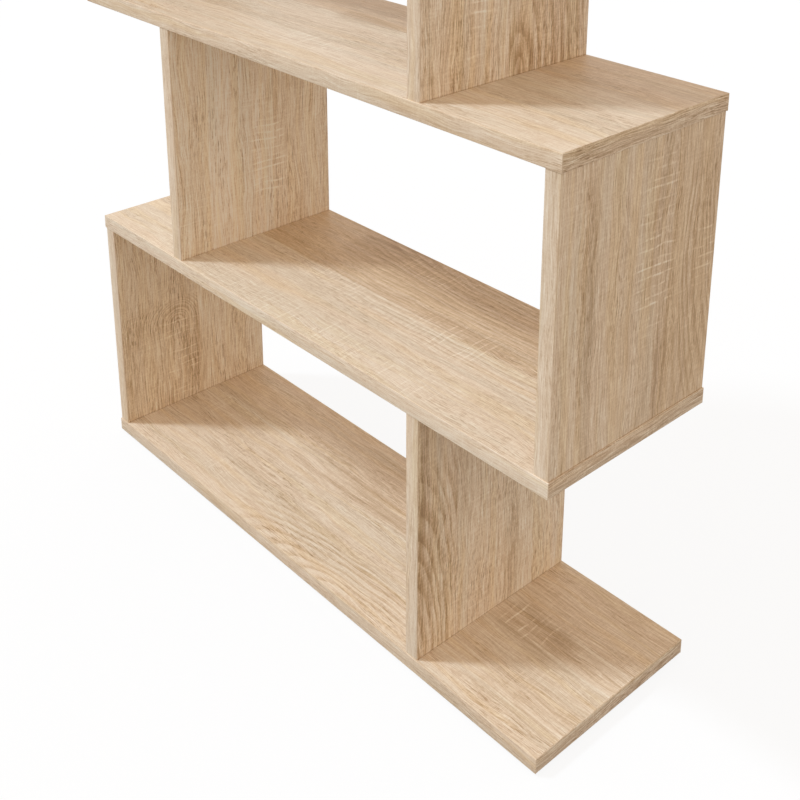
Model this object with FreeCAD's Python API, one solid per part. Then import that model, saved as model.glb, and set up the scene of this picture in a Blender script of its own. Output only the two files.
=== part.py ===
# Zigzag shelving unit: five full-width shelves with two uprights in each tier.
# One upright of a tier stands at a shelf end and the other is set in from the opposite end,
# and the two change sides from tier to tier, so the unit climbs in open steps.
# Millimetres. X runs along the shelves, the front is at -Y and Z is up.
# The origin is on the floor, at the middle of the footprint.
import FreeCAD, Part
import math
import os
from FreeCAD import Vector

# Shelves and uprights
unit_width = 800.0
unit_depth = 240.0
bay_height = 300.0
tier_count = 4
shelf_thickness = 18.0
upright_thickness = 18.0
upright_inset = 173.0  # from a shelf end to the near face of the upright that is set in
upright_setback = 1.0  # end uprights behind the shelf end, all uprights behind front and back

# Edge bands
band_thickness = 1.0
band_bevel = 0.6

# Cam locks: one in the middle of each upright's top end, let in from its left face
cam_radius = 7.4
cam_drop = 34.0  # from the upright's top end to the cam's axis
cam_tail = 3.4  # how far the cam runs past the bolt's line
cam_sink = 0.3  # its face below the upright's face
cam_face_thickness = 4.2
cam_pocket_radius = 4.3
cam_throw = 0.7  # how far the pocket stands off the cam's axis
cam_turn = 115.0  # degrees from the locked neck to the mouth that lets the head in
cam_clearance = 0.1
drive_length = 6.4
drive_width = 1.3
drive_depth = 2.4

# Covers over the cams, each held by a blade in the cam's drive
cover_radius = 8.6
cover_thickness = 0.9
cover_bevel = 0.4
blade_depth = 1.6
blade_clearance = 0.15

# Cam bolts, screwed up into the shelf above
bolt_thread_radius = 2.5
bolt_thread_length = 11.0
bolt_collar_radius = 3.7
bolt_collar_length = 1.6
bolt_shank_radius = 2.8
bolt_neck_radius = 1.8
bolt_head_radius = 3.2
bolt_head_reach = 2.8  # from the head's widest ring to each of its ends
bolt_head_end_radius = 2.0
bolt_bore_radius = 4.0
bolt_thread_clearance = 0.05
bolt_end_gap = 0.5
bolt_running_clearance = 0.3  # round the neck and the head inside the cam

# Dowels, in front of and behind each cam bolt
dowel_radius = 4.0
dowel_length = 30.0
dowel_in_shelf = 10.5
dowel_inset = 56.0  # from the shelf's front and back edges to the dowel's axis
dowel_clearance = 0.05
dowel_end_gap = 0.5

# Screws, from under each shelf into the foot of the upright on it
screw_radius = 3.1
screw_length = 50.0
screw_head_radius = 5.0
screw_head_length = 3.4
screw_head_sink = 0.4
screw_inset = 40.0  # from the shelf's front and back edges to the screw's axis
screw_clearance = 0.05
screw_tip_gap = 1.0

# Floor glides, each with its nail
glide_radius = 10.0
glide_height = 3.0
glide_bevel = 1.0
glide_inset = 30.0  # from the base shelf's ends and edges to the glide's axis
nail_radius = 1.2
nail_length = 14.0
nail_in_glide = 1.8
nail_clearance = 0.05
nail_tip_gap = 0.5

# Wall bracket under the back edge of the top shelf
bracket_width = 40.0
bracket_leg = 26.0
bracket_thickness = 2.0
bracket_bend_radius = 3.0
bracket_corner = 4.0  # cut off the two free corners of each leg
bracket_hole_drop = 15.0  # from the shelf's underside to the wall hole's axis
bracket_hole_radius = 3.0
bracket_screw_spacing = 24.0
bracket_screw_setback = 14.0  # from the back edge to the line of the two screws
bracket_screw_radius = 1.8
bracket_screw_length = 14.0
bracket_screw_head_radius = 3.6
bracket_screw_head_length = 1.8
bracket_screw_clearance = 0.05
bracket_screw_tip_gap = 0.5

# How far a cutter runs past the face that it opens
overrun = 1.0

# Small round pieces and their holes are built with flats
fastener_sides = 12
cam_sides = 20
nail_sides = 8

# Planes and lines that the pieces share
right_end = unit_width / 2
back_edge = unit_depth / 2
tier_pitch = shelf_thickness + bay_height
bolt_line = upright_thickness / 2
cam_length = bolt_line + cam_tail - cam_sink
origin = Vector(0, 0, 0)
across = Vector(1, 0, 0)
backward = Vector(0, 1, 0)
up = Vector(0, 0, 1)


def shelf_underside(number):
    """Height of a shelf's underside. Shelf 0 lies on the glides."""
    return glide_height + number * tier_pitch


def upright_places(tier):
    """Left faces of the two uprights in a tier, by side."""
    if tier % 2 == 0:
        left = upright_setback - right_end
        right = right_end - upright_inset - upright_thickness
    else:
        left = upright_inset - right_end
        right = right_end - upright_setback - upright_thickness
    return {"left": left, "right": right}


# Shapes


def block(low, high):
    size = high - low
    return Part.makeBox(size.x, size.y, size.z, low)


def flat(corners):
    return Part.Face(Part.makePolygon(corners + corners[:1]))


def prism(points, reach):
    """A straight bar on a closed outline of points."""
    return flat(points).extrude(reach)


def faceted(rings, sides):
    """A small round piece or cutter about the vertical, through (radius, height) rings."""
    turns = [2 * math.pi * side / sides for side in range(sides)]
    hoops = [[Vector(r * math.cos(turn), r * math.sin(turn), z) for turn in turns] for r, z in rings]
    faces = [flat(hoops[0]), flat(hoops[-1])]
    for low, high in zip(hoops, hoops[1:]):
        faces += [flat([low[side - 1], low[side], high[side], high[side - 1]]) for side in range(sides)]
    return Part.makeSolid(Part.makeShell(faces))


def joined(pieces):
    return pieces[0].multiFuse(pieces[1:]).removeSplitter().Solids[0]


def less(solid, cutters):
    """The solid with every cutter taken away in one step."""
    return solid.cut(Part.makeCompound(cutters)).Solids[0]


def placed(piece, places):
    """One copy of a piece at each place."""
    copies = [piece.copy() for place in places]
    for copy, place in zip(copies, places):
        copy.translate(place)
    return copies


def facing_left(piece):
    """Lays a piece made about the vertical along X, with its own X axis pointing up."""
    piece.rotate(origin, across + up, 180)
    return piece


def save(node, solids):
    """Writes one sub-part. Like pieces stay separate solids in it."""
    shape = solids[0] if len(solids) == 1 else Part.makeCompound(solids)
    shape.exportStep("parts/" + node + ".step")


# Places of the fasteners, each where its height 0 lies


def upright_middles(tier):
    """Middle planes of a tier's uprights, where their bolts, dowels and screws lie."""
    return [left + bolt_line for left in upright_places(tier).values()]


def front_and_back(inset):
    """The two places at one distance in from the front and back edges."""
    return [inset - back_edge, back_edge - inset]


def screw_places(middles, shelf):
    """Where screws enter the underside of a shelf, on their way to the uprights on it."""
    height = shelf_underside(shelf)
    return [Vector(x, y, height) for x in middles for y in front_and_back(screw_inset)]


def bolt_places(middles, shelf):
    """Where the cam bolts of the uprights below a shelf enter its underside."""
    return [Vector(x, 0, shelf_underside(shelf)) for x in middles]


def dowel_places(middles, shelf):
    """Where the dowels of the uprights below a shelf enter its underside."""
    height = shelf_underside(shelf)
    return [Vector(x, y, height) for x in middles for y in front_and_back(dowel_inset)]


def glide_places():
    """Floor points under the four corners of the base shelf."""
    reach = right_end - glide_inset
    return [Vector(x, y, 0) for x in (-reach, reach) for y in front_and_back(glide_inset)]


def bracket_screw_places():
    """Where the bracket's screws enter the top shelf's underside."""
    reach = bracket_screw_spacing / 2
    y = back_edge - bracket_screw_setback
    return [Vector(x, y, shelf_underside(tier_count)) for x in (-reach, reach)]


# Screws, dowels and nails, each followed by its hole


def screw():
    """A countersunk screw that enters the shelf's underside and points up."""
    head = (screw_head_radius, screw_head_sink)
    neck = (screw_radius, screw_head_sink + screw_head_length)
    tip = (screw_radius, screw_head_sink + screw_length)
    return faceted([head, neck, tip], fastener_sides)


def screw_hole():
    """Runs through the shelf, with a sunk mouth for the head, and on into the upright's foot."""
    slope = (screw_head_radius - screw_radius) / screw_head_length
    wide = screw_head_radius + screw_clearance + slope * (screw_head_sink + overrun)
    narrow = screw_radius + screw_clearance
    neck = screw_head_sink + screw_head_length
    floor = screw_head_sink + screw_length + screw_tip_gap
    return faceted([(wide, -overrun), (narrow, neck), (narrow, floor)], fastener_sides)


def dowel():
    low = dowel_in_shelf - dowel_length
    return faceted([(dowel_radius, low), (dowel_radius, dowel_in_shelf)], fastener_sides)


def dowel_hole():
    """Two blind holes on one line, up into the shelf and down into the upright's end."""
    radius = dowel_radius + dowel_clearance
    low = dowel_in_shelf - dowel_length - dowel_end_gap
    high = dowel_in_shelf + dowel_end_gap
    return faceted([(radius, low), (radius, high)], fastener_sides)


def nail():
    foot = glide_height - nail_in_glide
    return faceted([(nail_radius, foot), (nail_radius, foot + nail_length)], nail_sides)


def nail_hole():
    """A blind hole in the glide's top and on up into the shelf."""
    radius = nail_radius + nail_clearance
    foot = glide_height - nail_in_glide
    return faceted([(radius, foot), (radius, foot + nail_length + nail_tip_gap)], nail_sides)


def glide():
    """A round foot with a bevelled rim, and the lower end of the nail's hole in its top."""
    rim = [(glide_radius - glide_bevel, 0), (glide_radius, glide_bevel), (glide_radius, glide_height)]
    return less(faceted(rim, cam_sides), [nail_hole()])


# Cam joint, the piece that draws a shelf down onto the uprights below it


def drive_arms(low, high, clearance):
    """The two arms of the cross in the cam's face."""
    reach = drive_length / 2 - clearance
    side = drive_width / 2 - clearance
    arm = block(Vector(-reach, -side, low), Vector(reach, side, high))
    other_arm = arm.copy()
    other_arm.rotate(origin, up, 90)
    return [arm, other_arm]


def cam_lock():
    """A cam whose face lies at height 0, with the bolt coming in along its own X axis.

    The pocket stands off the cam's axis, so its wall draws the bolt's head in as the cam turns.
    The slot lets the bolt's neck travel through the wall, and the mouth lets the head in.
    """
    bolt_height = bolt_line - cam_sink
    neck_room = bolt_neck_radius + bolt_running_clearance
    head_room = bolt_head_radius + bolt_running_clearance
    reach = cam_radius + overrun
    body = faceted([(cam_radius, 0), (cam_radius, cam_length)], cam_sides)
    pocket_ends = (cam_face_thickness, cam_length + overrun)
    pocket = faceted([(cam_pocket_radius, height) for height in pocket_ends], fastener_sides)
    pocket.translate(across * -cam_throw)
    slot_floor = bolt_height - neck_room
    slot = Part.makeCylinder(reach, 2 * neck_room, up * slot_floor, up, cam_turn)
    slot_corner = Vector(reach, neck_room, bolt_height + neck_room)
    slot_end = block(Vector(0, -neck_room, slot_floor), slot_corner)
    mouth_corner = Vector(reach, head_room, cam_length + overrun)
    mouth = block(Vector(0, -head_room, bolt_height - head_room), mouth_corner)
    mouth.rotate(origin, up, cam_turn)
    cross = drive_arms(-overrun, drive_depth, 0)
    return facing_left(less(body, [pocket, slot, slot_end, mouth] + cross))


def cam_hole():
    """A blind pocket in the upright's left face, whose mouth is at height 0."""
    radius = cam_radius + cam_clearance
    floor = cam_sink + cam_length + cam_clearance
    return facing_left(faceted([(radius, -overrun), (radius, floor)], cam_sides))


def cam_cover():
    """A bevelled disc over the cam hole, with a blade that grips the cam's cross."""
    shoulder = cover_bevel - cover_thickness
    rings = [(cover_radius - cover_bevel, -cover_thickness), (cover_radius, shoulder), (cover_radius, 0)]
    blade = drive_arms(0, cam_sink + blade_depth, blade_clearance)[0]
    return facing_left(joined([faceted(rings, cam_sides), blade]))


def cam_bolt():
    """Thread in the shelf, collar under it, shank down the upright's end, head in the cam."""
    rim = cam_radius - cam_drop
    thread = [(bolt_thread_radius, 0), (bolt_thread_radius, bolt_thread_length)]
    collar = [(bolt_collar_radius, -bolt_collar_length), (bolt_collar_radius, 0)]
    shank = [(bolt_shank_radius, rim), (bolt_shank_radius, -bolt_collar_length)]
    neck = [(bolt_neck_radius, bolt_head_reach - cam_drop), (bolt_neck_radius, rim)]
    head = [(bolt_head_end_radius, -bolt_head_reach - cam_drop), (bolt_head_radius, -cam_drop)]
    stretches = [thread, collar, shank, head + neck]
    return joined([faceted(rings, fastener_sides) for rings in stretches])


def bolt_hole():
    """A blind hole in the shelf for the thread, and a bore down the upright's end to the cam."""
    thread_radius = bolt_thread_radius + bolt_thread_clearance
    floor = bolt_thread_length + bolt_end_gap
    thread = faceted([(thread_radius, 0), (thread_radius, floor)], fastener_sides)
    bore = faceted([(bolt_bore_radius, -cam_drop), (bolt_bore_radius, 0)], fastener_sides)
    return joined([thread, bore])


# Boards and their edge bands


def edge_band(corner, outward, rise, run):
    """A band on one edge of a board, with its two outer corners bevelled.

    corner is where the edge starts, rise crosses the board's thickness and run follows the edge.
    """
    trim = rise * (band_bevel / rise.Length)
    skin = outward * band_thickness
    shoulder = outward * (band_thickness - band_bevel)
    outline = [corner, corner + shoulder, corner + skin + trim]
    outline += [corner + skin + rise - trim, corner + shoulder + rise, corner + rise]
    return prism(outline, run)


def shelf_board(number):
    """A shelf's board inside its edge bands, with the holes of what is driven into it."""
    reach_x = right_end - band_thickness
    reach_y = back_edge - band_thickness
    low = Vector(-reach_x, -reach_y, shelf_underside(number))
    high = Vector(reach_x, reach_y, shelf_underside(number) + shelf_thickness)
    holes = []
    if number < tier_count:
        holes += placed(screw_hole(), screw_places(upright_middles(number), number))
    else:
        holes += placed(bracket_screw_hole(), bracket_screw_places())
    if number > 0:
        holes += placed(bolt_hole(), bolt_places(upright_middles(number - 1), number))
        holes += placed(dowel_hole(), dowel_places(upright_middles(number - 1), number))
    else:
        holes += placed(nail_hole(), glide_places())
    return less(block(low, high), holes)


def shelf_bands(number):
    """Front and back bands over the full width, and end bands between them."""
    bottom = shelf_underside(number)
    rise = up * shelf_thickness
    reach_x = right_end - band_thickness
    reach_y = back_edge - band_thickness
    bands = []
    for side in (-1, 1):
        long_edge = Vector(-right_end, side * reach_y, bottom)
        bands.append(edge_band(long_edge, backward * side, rise, across * unit_width))
    for side in (-1, 1):
        short_edge = Vector(side * reach_x, -reach_y, bottom)
        bands.append(edge_band(short_edge, across * side, rise, backward * (2 * reach_y)))
    return bands


def upright_board(tier, face):
    """An upright's board inside its two edge bands, with the holes at its foot and its head."""
    reach_y = back_edge - upright_setback - band_thickness
    foot = shelf_underside(tier) + shelf_thickness
    head = shelf_underside(tier + 1)
    middle = [face + bolt_line]
    cam_centre = Vector(face, 0, head - cam_drop)
    holes = placed(screw_hole(), screw_places(middle, tier))
    holes += placed(dowel_hole(), dowel_places(middle, tier + 1))
    holes += placed(bolt_hole(), bolt_places(middle, tier + 1))
    holes += placed(cam_hole(), [cam_centre])
    low = Vector(face, -reach_y, foot)
    return less(block(low, Vector(face + upright_thickness, reach_y, head)), holes)


def upright_bands(tier, face):
    """Front and back bands over the upright's full height."""
    reach_y = back_edge - upright_setback - band_thickness
    foot = shelf_underside(tier) + shelf_thickness
    bands = []
    for side in (-1, 1):
        edge = Vector(face, side * reach_y, foot)
        bands.append(edge_band(edge, backward * side, across * upright_thickness, up * bay_height))
    return bands


# Wall bracket


def bracket_screw():
    """A flat-headed screw that clamps the bracket's leg and points up into the shelf."""
    seat = -bracket_thickness
    tip = seat + bracket_screw_length
    head_end = seat - bracket_screw_head_length
    head = [(bracket_screw_head_radius, head_end), (bracket_screw_head_radius, seat)]
    shank = [(bracket_screw_radius, seat), (bracket_screw_radius, tip)]
    return joined([faceted(head, fastener_sides), faceted(shank, fastener_sides)])


def bracket_screw_hole():
    """Runs through the bracket's leg and on up into the shelf."""
    radius = bracket_screw_radius + bracket_screw_clearance
    foot = -bracket_thickness - overrun
    floor = bracket_screw_length - bracket_thickness + bracket_screw_tip_gap
    return faceted([(radius, foot), (radius, floor)], fastener_sides)


def at_free_end(edge, top):
    """True for the four short edges at the free ends of the bracket's two legs."""
    middle = edge.CenterOfMass
    at_front = middle.y < back_edge - bracket_leg + bracket_thickness
    at_foot = middle.z < top - bracket_leg + bracket_thickness
    at_side = abs(middle.x) > bracket_width / 2 - bracket_thickness
    return at_side and (at_front or at_foot)


def wall_bracket():
    """A bent angle: one leg under the top shelf, the other down the wall with a round hole."""
    top = shelf_underside(tier_count)
    inner_radius = bracket_bend_radius - bracket_thickness
    left = -bracket_width / 2
    centre = Vector(left, back_edge - bracket_bend_radius, top - bracket_bend_radius)
    front = Vector(left, back_edge - bracket_leg, top)
    foot = Vector(left, back_edge, top - bracket_leg)
    inner_foot = foot - backward * bracket_thickness
    inner_front = front - up * bracket_thickness
    diagonal = (backward + up).normalize()
    outer_bend = [centre + way * bracket_bend_radius for way in (up, diagonal, backward)]
    inner_bend = [centre + way * inner_radius for way in (backward, diagonal, up)]
    outline = Part.Wire([
        Part.makeLine(front, outer_bend[0]),
        Part.Arc(*outer_bend).toShape(),
        Part.makeLine(outer_bend[2], foot),
        Part.makeLine(foot, inner_foot),
        Part.makeLine(inner_foot, inner_bend[0]),
        Part.Arc(*inner_bend).toShape(),
        Part.makeLine(inner_bend[2], inner_front),
        Part.makeLine(inner_front, front),
    ])
    angle = Part.Face(outline).extrude(across * bracket_width)
    angle = angle.makeChamfer(bracket_corner, [edge for edge in angle.Edges if at_free_end(edge, top)])
    hole_start = Vector(0, back_edge - bracket_thickness - overrun, top - bracket_hole_drop)
    hole_length = bracket_thickness + 2 * overrun
    wall_hole = Part.makeCylinder(bracket_hole_radius, hole_length, hole_start, backward)
    return less(angle, [wall_hole] + placed(bracket_screw_hole(), bracket_screw_places()))


# Building

os.makedirs("parts", exist_ok=True)

for number in range(tier_count + 1):
    name = "shelf_" + str(number + 1)
    save(name, [shelf_board(number)])
    save(name + "_bands", shelf_bands(number))

for tier in range(tier_count):
    for side, face in upright_places(tier).items():
        name = "upright_" + str(tier + 1) + "_" + side
        save(name, [upright_board(tier, face)])
        save(name + "_bands", upright_bands(tier, face))

    suffix = "_tier_" + str(tier + 1)
    middles = upright_middles(tier)
    cam_height = shelf_underside(tier + 1) - cam_drop
    cam_mouths = [Vector(face, 0, cam_height) for face in upright_places(tier).values()]
    save("cams" + suffix, placed(cam_lock(), [mouth + across * cam_sink for mouth in cam_mouths]))
    save("cam_covers" + suffix, placed(cam_cover(), cam_mouths))
    save("cam_bolts" + suffix, placed(cam_bolt(), bolt_places(middles, tier + 1)))
    save("dowels" + suffix, placed(dowel(), dowel_places(middles, tier + 1)))
    save("screws" + suffix, placed(screw(), screw_places(middles, tier)))

save("glides", placed(glide(), glide_places()))
save("glide_nails", placed(nail(), glide_places()))
save("wall_bracket", [wall_bracket()])
save("bracket_screws", placed(bracket_screw(), bracket_screw_places()))
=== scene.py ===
# %% [markdown]
# # A zigzag shelving unit in rough-sawn oak decor
#
# The solid model holds every board, band and fastener at its real size. This lesson gives them
# their looks. Boards keep the shapes that they have. Thin edge bands and small round pieces are
# rebuilt with rounder forms, because light on a rounded corner is what makes a board look real.

import math
import random

import bmesh
import bpy
from mathutils import Matrix, Vector


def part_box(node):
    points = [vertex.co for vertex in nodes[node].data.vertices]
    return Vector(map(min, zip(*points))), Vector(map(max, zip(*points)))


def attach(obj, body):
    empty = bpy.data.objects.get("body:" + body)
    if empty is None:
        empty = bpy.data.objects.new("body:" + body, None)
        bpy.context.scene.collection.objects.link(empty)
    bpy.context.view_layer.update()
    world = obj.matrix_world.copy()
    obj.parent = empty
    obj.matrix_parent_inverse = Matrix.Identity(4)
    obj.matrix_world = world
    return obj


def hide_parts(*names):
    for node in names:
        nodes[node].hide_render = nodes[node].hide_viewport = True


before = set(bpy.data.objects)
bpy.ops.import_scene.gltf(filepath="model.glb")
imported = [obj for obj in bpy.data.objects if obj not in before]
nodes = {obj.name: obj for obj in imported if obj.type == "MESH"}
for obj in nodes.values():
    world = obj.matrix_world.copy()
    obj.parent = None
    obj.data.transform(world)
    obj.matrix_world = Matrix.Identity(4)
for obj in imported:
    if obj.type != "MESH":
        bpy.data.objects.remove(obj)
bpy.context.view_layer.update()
print("CAD nodes:", len(nodes))

# %% [markdown]
# ## Small helpers for node trees
#
# Materials and Geometry Nodes are both trees of nodes. Writing them by hand in the editor is
# quick, but a script needs three steps for each node: make it, set it, link it. One helper does
# all three, and a second one makes the Math nodes, which are most of any procedural pattern.

# %% Nodes and links
def add_node(tree, kind, inputs=(), **settings):
    """Adds a node. inputs maps a socket's name or number to a value or to another node's output."""
    made = tree.nodes.new(kind)
    for name, value in settings.items():
        setattr(made, name, value)
    for key, value in dict(inputs).items():
        if isinstance(value, bpy.types.NodeSocket):
            tree.links.new(value, made.inputs[key])
        else:
            made.inputs[key].default_value = value
    return made


def calc(tree, operation, *values):
    """The output of one Math node. Each value is a number or another node's output."""
    return add_node(tree, "ShaderNodeMath", enumerate(values), operation=operation).outputs[0]


print("Helpers for single nodes: add_node, calc")

# %% [markdown]
# ## Groups with named sockets
#
# An effect that several materials share is made once, as a node group, and each material gives
# the group's sockets its own values. Copying the nodes into every material would look the same,
# but then each change to the grain would have to be made fourteen times, once for each oak.

# %% Groups
FLOAT = "NodeSocketFloat"
COLOR = "NodeSocketColor"


def floats(*labels):
    """Number sockets for a group, each zero until a material says more."""
    return [(label, FLOAT, 0.0) for label in labels]


def new_group(kind, name, inputs, outputs):
    """A node group with named sockets. Returns it with the sockets that its nodes read and feed."""
    group = bpy.data.node_groups.new(name, kind)
    for label, socket_type, value in inputs:
        made = group.interface.new_socket(label, in_out="INPUT", socket_type=socket_type)
        if value is not None:
            made.default_value = value
    for label, socket_type in outputs:
        group.interface.new_socket(label, in_out="OUTPUT", socket_type=socket_type)
    start = group.nodes.new("NodeGroupInput")
    end = group.nodes.new("NodeGroupOutput")
    return group, start.outputs, end.inputs


def feed(group, socket, value):
    group.links.new(value, socket)


def use_group(tree, group, **inputs):
    """Places a group in a tree. Underscores in the names stand for the spaces of its sockets."""
    made = tree.nodes.new("ShaderNodeGroup")
    made.node_tree = group
    for name, value in inputs.items():
        socket = made.inputs[name.replace("_", " ")]
        if isinstance(value, bpy.types.NodeSocket):
            tree.links.new(value, socket)
        else:
            socket.default_value = value
    return made.outputs


print("Helpers for groups: new_group, feed, use_group")

# %% [markdown]
# ## Stretched noise
#
# Everything in wood is long along the grain and narrow across it. So most of the decor is noise
# whose place is divided by one length along the grain and by another across it. A Mapping node
# could stretch the noise too, but its scales say how often a pattern repeats. Dividing by a
# length in millimetres says at once how large the pattern is: a streak 260 long and 5 wide.

# %% Stretched noise
def stretched(tree, along, across, length, width, shift=0.0, detail=2.0):
    """Noise from 0 to 1 whose features are about length by width, in millimetres."""
    place = add_node(tree, "ShaderNodeCombineXYZ", {
        0: calc(tree, "DIVIDE", along, length),
        1: calc(tree, "DIVIDE", across, width),
        2: shift,
    })
    noise = add_node(tree, "ShaderNodeTexNoise",
                     {"Vector": place.outputs[0], "Scale": 1.0, "Detail": detail})
    return noise.outputs["Fac"]


def ramp(tree, value, low, high, start=0.0, end=1.0):
    """Takes low to high smoothly to start to end, and clamps outside."""
    made = add_node(
        tree, "ShaderNodeMapRange", {0: value, 1: low, 2: high, 3: start, 4: end},
        interpolation_type="SMOOTHSTEP",
    )
    return made.outputs[0]


def swing(tree, value, amount):
    """Centres a 0 to 1 value on zero, so that it adds at most half the amount either way."""
    return calc(tree, "MULTIPLY", calc(tree, "SUBTRACT", value, 0.5), amount)


print("Helpers for patterns: stretched, ramp, swing")

# %% [markdown]
# ## Growth rings
#
# The decor is printed from a picture of planks glued side by side. A tree's rings are cylinders
# round its pith, and a plank is a flat cut that runs slightly askew to them. Far to the side of
# the pith the rings show as nearly straight lines. Where the cut climbs away from the pith they
# show as nested arches. The group works out the distance from the pith and cuts it into rings. A
# wave texture would give even ripples instead, and would lack the arches.

# %% Distance from the pith
PITH = ("Pith across", "Pith along", "Pith slope", "Ring width")
RING_WIDTH = 6.0  # millimetres, where a material gives none
PITH_SOFTNESS = 15.0  # how gently the cut leaves the pith, in millimetres

rings, given, made = new_group(
    "ShaderNodeTree", "Growth rings",
    floats("Along", "Across", "Layer", *PITH[:3]) + [(PITH[3], FLOAT, RING_WIDTH)],
    [("Early wood", FLOAT)],
)
side = calc(rings, "SUBTRACT", given["Across"], given["Pith across"])
past_pith = calc(rings, "SUBTRACT", given["Along"], given["Pith along"])
climb = calc(rings, "MULTIPLY", past_pith, given["Pith slope"])
depth = calc(rings, "SMOOTH_MAX", climb, 0.0, PITH_SOFTNESS)
from_pith = calc(rings, "SQRT", calc(rings, "ADD", calc(rings, "MULTIPLY", side, side),
                                     calc(rings, "MULTIPLY", depth, depth)))
print("Nodes for the distance from the pith:", len(rings.nodes))

# %% [markdown]
# ## Early and late wood
#
# Each ring starts with coarse dark early wood and pales towards the next. A sine wave would rise
# as slowly as it falls, so two smooth steps are used, a short one up and a long one down. Some
# runs of years are good and some are bad, so the rings aren't even. They also fade out where a
# real plank shows little of them: deep in the arches, far off to the side, and before the cut
# reaches the pith.

# %% Cut the distance into rings
RUN_OF_YEARS = 2.3  # how many years a good or a bad run lasts
UNEVENNESS = 1.8  # how many years the runs move a ring

years = calc(rings, "DIVIDE", from_pith, given["Ring width"])
good_and_bad_years = stretched(rings, years, 0.0, RUN_OF_YEARS, 1, given["Layer"], 0)
years = calc(rings, "ADD", years, swing(rings, good_and_bad_years, UNEVENNESS))
season = calc(rings, "FRACT", years)
spring = ramp(rings, season, 0.0, 0.12)
summer = ramp(rings, season, 0.15, 0.8, 1.0, 0.0)
early = calc(rings, "MULTIPLY", spring, summer)
rings_deep = calc(rings, "DIVIDE", depth, given["Ring width"])
deep_fade = ramp(rings, rings_deep, 5.0, 9.0, 1.0, 0.1)
side_fade = ramp(rings, from_pith, 60, 150, 1.0, 0.25)
before_fade = ramp(rings, climb, -25, 0, 0.35, 1.0)
for fade in (deep_fade, side_fade, before_fade):
    early = calc(rings, "MULTIPLY", early, fade)
feed(rings, made["Early wood"], early)
print("Nodes in the ring group:", len(rings.nodes))

# %% [markdown]
# ## Pores
#
# Oak's pores are short dark dashes along the grain, thickest where each year's growth began, and
# some patches have many and others few. Pale dashes of the same kind lie between them. Both are
# narrow stretched noise with a threshold. Cells of a Voronoi texture would be dashes too, but all
# about alike, and a pore is as ragged as noise is.

# %% Pore group
pores, given, made = new_group(
    "ShaderNodeTree", "Pores", floats("Along", "Across", "Layer", "Early wood"),
    [("Dark dashes", FLOAT), ("Pale dashes", FLOAT)],
)


def pore_noise(length, width, number, detail):
    """Stretched noise of the pore group, on a layer of its own."""
    return stretched(pores, given["Along"], given["Across"], length, width,
                     calc(pores, "ADD", given["Layer"], number), detail)


dash = pore_noise(12, 0.8, 1.3, 1)
patch = ramp(pores, pore_noise(110, 26, 8.8, 0), 0.42, 0.70, 0.1, 1.0)
room = calc(pores, "MULTIPLY_ADD", given["Early wood"], 0.4, patch)
dark = calc(pores, "MULTIPLY", ramp(pores, dash, 0.53, 0.70), room)
feed(pores, made["Dark dashes"], dark)
feed(pores, made["Pale dashes"], ramp(pores, pore_noise(8, 1.6, 5.9, 1), 0.50, 0.75))
print("Nodes in the pore group:", len(pores.nodes))

# %% [markdown]
# ## Saw marks
#
# The saw left rows of pale scratches across the grain. A wave texture could draw such rows, but
# every scratch would be alike. So they are lines at steps along the grain, and each is moved and
# faded by its own random number. The lines lean a little and wander, and a coarse noise breaks
# them up, because the teeth only caught here and there.

# %% Saw mark group
SCRATCH_STEP = 10.0  # millimetres from one scratch to the next
LEAN = 0.05  # how far a scratch climbs for each millimetre across
WANDER = 5  # how wide it strays from its line, in millimetres

saw_marks, given, made = new_group(
    "ShaderNodeTree", "Saw marks", floats("Along", "Across", "Layer"), [("Scratches", FLOAT)])
along, across, layer = given["Along"], given["Across"], given["Layer"]
leaning = calc(saw_marks, "MULTIPLY_ADD", across, LEAN, along)
wandering = swing(saw_marks, stretched(saw_marks, along, across, 30, 26, layer, 0), WANDER)
step = calc(saw_marks, "DIVIDE", calc(saw_marks, "ADD", leaning, wandering), SCRATCH_STEP)
number = calc(saw_marks, "ADD", calc(saw_marks, "FLOOR", step), layer)
luck = add_node(saw_marks, "ShaderNodeTexWhiteNoise", {"W": number},
                noise_dimensions="1D").outputs[0]
moved = calc(saw_marks, "ADD", calc(saw_marks, "FRACT", step), swing(saw_marks, luck, -0.6))
steps_off = calc(saw_marks, "ABSOLUTE", calc(saw_marks, "SUBTRACT", moved, 0.5))
off_line = calc(saw_marks, "MULTIPLY", steps_off, SCRATCH_STEP)
line = calc(saw_marks, "MULTIPLY", ramp(saw_marks, off_line, 0.4, 1.5, 1.0, 0.0),
            ramp(saw_marks, luck, 0.05, 0.9, 0.25, 1.0))
breaks = stretched(saw_marks, along, across, 6, 9, calc(saw_marks, "ADD", layer, 9.9), 1)
ragged = ramp(saw_marks, breaks, 0.30, 0.58)
feed(saw_marks, made["Scratches"], calc(saw_marks, "MULTIPLY", line, ragged))
print("Nodes in the saw mark group:", len(saw_marks.nodes))

# %% [markdown]
# ## The whole decor
#
# One group puts the parts together. It reads a place in millimetres, along and across the grain,
# and what its plank is like. First it bends the grain: a slow swing for the way the trunk grew,
# and a quick ripple on top. Rings, pores and streaks all follow the bent grain, so they stay in
# step. The saw ran straight, so its marks read the place as it is.

# %% Bend the grain and place the parts
BEND, RIPPLE = 16, 4.5  # how wide the grain swings, in millimetres

oak, given, made = new_group(
    "ShaderNodeTree", "Oak decor",
    floats("Along", "Across", "Layer", "Tone", "Grey", *PITH[:3])
    + [(PITH[3], FLOAT, RING_WIDTH), ("Figure", FLOAT, 1.0), ("Contrast", FLOAT, 1.0)]
    + floats("Stain", "Scratches"),
    [("Color", COLOR), ("Roughness", FLOAT), ("Height", FLOAT)],
)
along, straight, layer = given["Along"], given["Across"], given["Layer"]


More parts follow.
